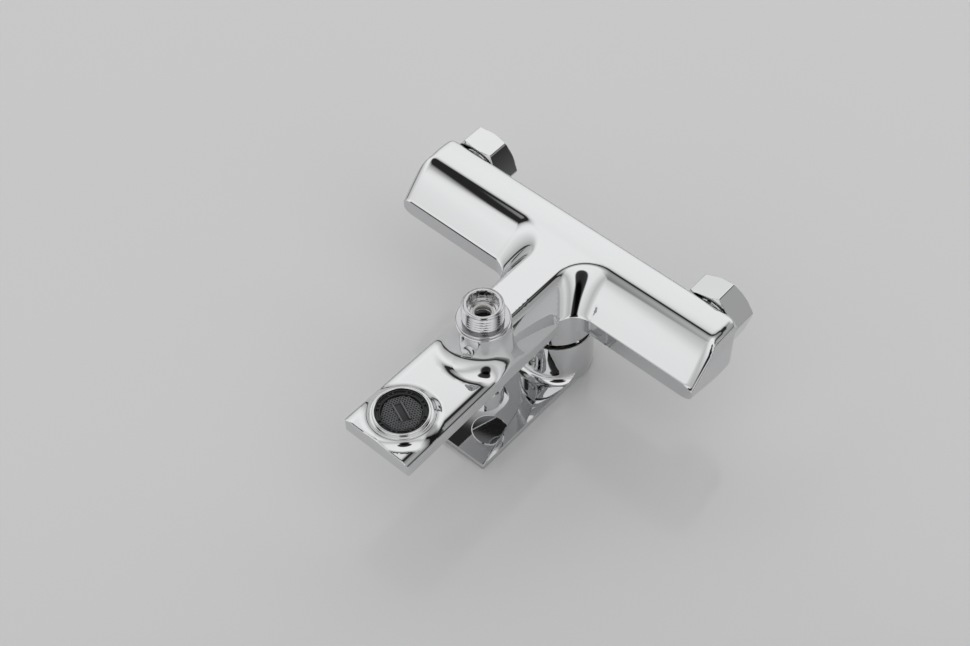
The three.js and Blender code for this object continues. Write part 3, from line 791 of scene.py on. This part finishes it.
def tabletop():
    mat, tree, shader = new_material("pale_gloss_board", (0.63, 0.63, 0.635), 0.1)
    clear = tree.nodes.new("ShaderNodeBsdfTransparent")
    swap = tree.nodes.new("ShaderNodeMixShader")
    geometry = tree.nodes.new("ShaderNodeNewGeometry")
    out = tree.nodes["Material Output"]
    path = tree.nodes.new("ShaderNodeLightPath")
    touching = tree.nodes.new("ShaderNodeMath")
    touching.operation = "LESS_THAN"
    touching.inputs[1].default_value = CONTACT_LENGTH
    either = tree.nodes.new("ShaderNodeMath")
    either.operation = "MAXIMUM"
    tree.links.new(path.outputs["Ray Length"], touching.inputs[0])
    tree.links.new(geometry.outputs["Backfacing"], either.inputs[0])
    tree.links.new(touching.outputs[0], either.inputs[1])
    tree.links.new(either.outputs[0], swap.inputs[0])
    tree.links.new(shader.outputs[0], swap.inputs[1])
    tree.links.new(clear.outputs[0], swap.inputs[2])
    tree.links.new(swap.outputs[0], out.inputs[0])
    z = cad_high.z + BOARD_GAP
    mesh = bpy.data.meshes.new("tabletop")
    corners = [(-0.8, -0.9, z), (-0.8, 1.3, z), (1.2, 1.3, z), (1.2, -0.9, z)]
    mesh.from_pydata(corners, [], [(0, 1, 2, 3)])
    mesh.materials.append(mat)
    board = bpy.data.objects.new("tabletop", mesh)
    bpy.context.scene.collection.objects.link(board)
    print("board height, mm:", round(z / MM, 2))


tabletop()

# %% [markdown]
# A grub screw holds the handle on the stem. Its small round hole is in the hub's front. The hole is drawn
# as a recessed sleeve that stands a hair proud of the hub, with a dark bore inside it. The black of the
# sleeve and the bore is painted shade, standing for the dark inside the hole.

# %% Set screw hole
SCREW_Z = 55


def screw_hole():
    ring = [(2.75, -20.02), (2.55, -20.10), (2.3, -20.05), (2.25, -19.0), (2.2, -18.0), (0, -18.0)]
    verts, steps = [], 40
    for r, depth in ring:
        for i in range(steps):
            a = 2 * math.pi * i / steps
            x = r * math.cos(a)
            bulge = HUB_R - math.sqrt(HUB_R**2 - x * x)
            verts.append((x, HUB_Y + depth + bulge, SCREW_Z + r * math.sin(a)))
    faces = band_faces(len(ring), steps)
    # The black here is painted shade: it darkens the sleeve and bore where the shade inside the hole would
    # fall.
    piece = build_mesh("set_screw_hole", np.array(verts) * MM, faces, None, black_plastic_and_hole_shade)
    clean_mesh(piece)
    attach(piece, "lever")
    print("screw hole faces:", len(piece.data.polygons))


screw_hole()

# %% [markdown]
# ## The union nuts
#
# A union nut is a hexagon with a cone turned on its wall side. Its edges are slightly rounded by the
# polishing wheel, and it is these roundings that show as dark lines. The hexagon's turn is read from the
# CAD nut.

# %% Union nuts
INLET_X, NUT_HALF, EDGE_BLEND = 75, 15.0, 0.55
CORNER_FAN = [
    -30, -29.5, -29, -28.5, -28, -27.4, -26.6, -26, -22, -15, -8, 0, 8, 15, 22, 26, 26.6, 27.4, 28, 28.5,
    29, 29.5,
]
NUT_MOUTH = ((10.4, -10.4), (10.4, -13), (12.0, -13), (12.0, -14.2), (12.2, -14.3))
NUT_BORE = ((12.4, 0.0), (12.2, -0.2), (12.2, -10.2), (10.4, -10.4))


def hexagon_radius(angle, phase):
    off = (angle - phase + math.pi / 6) % (math.pi / 3) - math.pi / 6
    near, beside = NUT_HALF / np.cos(off), NUT_HALF / np.cos(math.pi / 3 - np.abs(off))
    return smooth_min(near, beside, EDGE_BLEND)


def nut_angles(phase):
    return np.concatenate([np.radians(np.array(CORNER_FAN) + 60 * k) + phase for k in range(6)])


def nut_rows(hexagon):
    def circle(radius):
        return np.full(len(hexagon), radius)

    rows = [(circle(r), y) for r, y in NUT_MOUTH]
    for y in np.linspace(-14.3, -12.7, 22):
        rows.append((smooth_min(hexagon, circle(15.7 + 1.5 * (y + 14.3)), 0.35), y))
    for y in (-12.6, -12.5, -6.5, -1.95, -1.9, *np.linspace(-1.85, -0.05, 26)):
        rows.append((smooth_min(hexagon, circle(15.2 - 1.7143 * y), 0.35), y))
    return rows + [(circle(NUT_HALF), 0.0)] + [(circle(r), y) for r, y in NUT_BORE]


def nut_piece(side, centre_x):
    node = f"union_nut_{side}"
    far = max(nodes[node].data.vertices, key=lambda v: math.hypot(v.co.x - centre_x * MM, v.co.z))
    phase = math.atan2(far.co.z, far.co.x - centre_x * MM) + math.pi / 6
    angles = nut_angles(phase)
    rows = nut_rows(hexagon_radius(angles, phase))
    verts = []
    for radii, y in rows:
        verts += [(centre_x + r * math.cos(a), y, r * math.sin(a)) for r, a in zip(radii, angles)]
    faces = band_faces(len(rows), len(angles))
    piece = build_mesh(f"hexagon_nut_{side}", np.array(verts) * MM, faces, None, chrome)
    clean_mesh(piece, 32)
    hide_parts(node)
    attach(piece, f"nut_{side}")
    return piece


for side, centre_x in (("left", -INLET_X), ("right", INLET_X)):
    print("nut faces:", len(nut_piece(side, centre_x).data.polygons))

# %% [markdown]
# ## The shower outlet
#
# The nipple has a flange, a male half-inch thread and a stepped bore. A real thread is a helix, so its
# radius depends on both height and angle. The mesh is a fine grid round the axis whose radius follows
# that rule.

# %% Nipple
THREAD_PITCH, THREAD_ROOT_R, THREAD_CREST_R = 1.814, 9.35, 10.45
NIPPLE_STEPS, SPLINE_DEPTH = 144, 0.55


def thread_radius(z, angle):
    phase = ((-15.7 - z) / THREAD_PITCH - angle / (2 * math.pi)) % 1
    tooth = np.clip(1 - np.abs(phase - 0.5) * 2 * 1.25 + 0.1, 0, 1)
    fade = np.clip((-15.3 - z) / 0.8, 0, 1) * np.clip((z + 24.9) / 0.7, 0, 1)
    return THREAD_ROOT_R + (THREAD_CREST_R - THREAD_ROOT_R) * tooth * fade


def nipple_rows():
    flange = rounded([
        (12.2, -13.35), (13.15, -13.7), (13.15, -14.5), (12.6, -15.0), (9.9, -15.0), (9.35, -15.4)], 0.25)
    rows = [("plain", r, z) for r, z in flange]
    rows += [("thread", 0, z) for z in np.arange(-15.45, -24.85, -0.12)]
    bore = rounded([
        (9.3, -24.9), (8.95, -25.3), (7.9, -25.3), (7.55, -24.95), (7.5, -20.2), (6.2, -20.0),
        (6.15, -18.9), (5.2, -18.7), (5.2, -16.2)], 0.2)
    return rows + [("plain", r, z) for r, z in bore]


def nipple_piece():
    steps, rows, verts = NIPPLE_STEPS, nipple_rows(), []
    for kind, r, z in rows:
        for i in range(steps):
            a = 2 * math.pi * i / steps
            radius = thread_radius(z, a) if kind == "thread" else r
            notch = kind == "plain" and radius < 7.85 and z < -20.4 and (i % 12) in (0, 1, 11)
            radius += SPLINE_DEPTH if notch else 0
            verts.append((radius * math.cos(a), NIPPLE_Y + radius * math.sin(a), z))
    piece = build_mesh("shower_outlet", np.array(verts) * MM, band_faces(len(rows), steps), None, satin)
    clean_mesh(piece, 35)
    return piece


outlet = nipple_piece()
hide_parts("shower_nipple")
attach(outlet, "body")
print("outlet faces:", len(outlet.data.polygons))

# %% [markdown]
# ## The aerator
#
# A chrome ring holds a black insert. The insert has slots round its rim, and a dome of fine hexagonal
# cells that break the water into a soft stream. A coin slot with two raised bars lies across the dome.

# %% Aerator
CELL_PITCH, CELL_OUT, CELL_IN, CELL_DEPTH, DOME_R = 1.4, 0.81, 0.56, 0.9, 9.5
SLOT_TURN = math.radians(22)
SLOT_HALF_WIDTH, SLOT_HALF_LENGTH, COIN_BAR_OFFSET = 2.6, 5.8, 2.1
RIM_TEETH, RIM_TOOTH_R = 16, 11.45

aerator_ring = turned("aerator_rim", rounded([
    (12.85, 6), (12.85, 1.2), (12.75, 0.25), (13.1, 0.0), (13.6, 0.05), (14.0, 0.5), (14.0, 6)], 0.25),
    (0, AERATOR_Y), chrome, "body")
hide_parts("aerator_ring")
insert_rim = turned("aerator_insert_rim", rounded([
    (10.1, 3.4), (10.15, 1.3), (10.5, 1.1), (10.8, 1.3), (10.85, 2.0), (12.0, 2.0), (12.1, 1.0), (12.4, 0.75),
    (12.7, 1.1), (12.7, 3.4)], 0.15), (0, AERATOR_Y), black_plastic_and_hole_shade, "body")
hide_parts("aerator_insert")
cell_plastic = finish_material("cell_plastic", (0.13, 0.133, 0.137), (0.35, 0.5), 0, 1200, 0.2, bump=0.1)
turned("aerator_dome", [(0, 1.75), (3, 1.85), (6, 2.1), (10.2, 2.9)], (0, AERATOR_Y), black_plastic_and_hole_shade,
       "body")


def hex_cell(cx, cy, r_out, r_in, z_top, z_low):
    verts = []
    for r, z in ((r_out, z_low), (r_out, z_top), (r_in, z_top), (r_in, z_low)):
        for i in range(6):
            a = math.radians(60 * i + 30)
            verts.append((cx + r * math.cos(a), cy + r * math.sin(a), z))
    return verts


def honeycomb():
    verts, faces = [], []
    for row in range(-8, 9):
        for column in range(-8, 9):
            x = CELL_PITCH * (column + 0.5 * (row % 2))
            y = CELL_PITCH * row * 0.866
            across = abs(x * math.sin(SLOT_TURN) - y * math.cos(SLOT_TURN))
            along = abs(x * math.cos(SLOT_TURN) + y * math.sin(SLOT_TURN))
            if math.hypot(x, y) > DOME_R or (across < SLOT_HALF_WIDTH and along < SLOT_HALF_LENGTH):
                continue
            top = 1.05 + 0.012 * (x * x + y * y)
            base = len(verts)
            verts += hex_cell(x, AERATOR_Y + y, CELL_OUT, CELL_IN, top, top + CELL_DEPTH)
            faces += band_faces(4, 6, base)
    piece = build_mesh("aerator_mesh", np.array(verts) * MM, faces, None, cell_plastic)
    bm = bmesh.new()
    bm.from_mesh(piece.data)
    bmesh.ops.recalc_face_normals(bm, faces=bm.faces)
    bm.to_mesh(piece.data)
    bm.free()
    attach(piece, "body")
    return len(faces)


print("honeycomb faces:", honeycomb())


def soft_block(name, centre, size, turn, material, body_name, bevel=0.2):
    bm = bmesh.new()
    bmesh.ops.create_cube(bm, size=1)
    bmesh.ops.scale(bm, vec=Vector(size) * MM, verts=bm.verts)
    bmesh.ops.bevel(bm, geom=bm.edges[:], offset=bevel * MM, segments=3, affect="EDGES", profile=0.5)
    bmesh.ops.rotate(bm, cent=(0, 0, 0), matrix=Matrix.Rotation(turn, 3, "Z"), verts=bm.verts)
    bmesh.ops.translate(bm, vec=Vector(centre) * MM, verts=bm.verts)
    mesh = bpy.data.meshes.new(name)
    bm.to_mesh(mesh)
    bm.free()
    mesh.materials.append(material)
    mesh.shade_smooth()
    piece = bpy.data.objects.new(name, mesh)
    bpy.context.scene.collection.objects.link(piece)
    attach(piece, body_name)
    return piece


for side in (-1, 1):
    across = Vector((-math.sin(SLOT_TURN), math.cos(SLOT_TURN), 0)) * side * COIN_BAR_OFFSET
    place = (across.x, AERATOR_Y + across.y, 1.3)
    soft_block(f"coin_bar_{'ab'[side > 0]}", place, (10.5, 0.7, 1.6), SLOT_TURN, cell_plastic,
               "body")
for k in range(RIM_TEETH):
    turn = math.radians(45 * (k // 2) + (6 if k % 2 else -6) + 20)
    place = (RIM_TOOTH_R * math.cos(turn), AERATOR_Y + RIM_TOOTH_R * math.sin(turn), 1.75)
    soft_block(f"rim_tooth_{k:02d}", place, (1.1, 0.9, 1.3), turn, black_plastic_and_hole_shade,
               "body", 0.15)
print("coin bars and rim teeth:", 2 + RIM_TEETH)
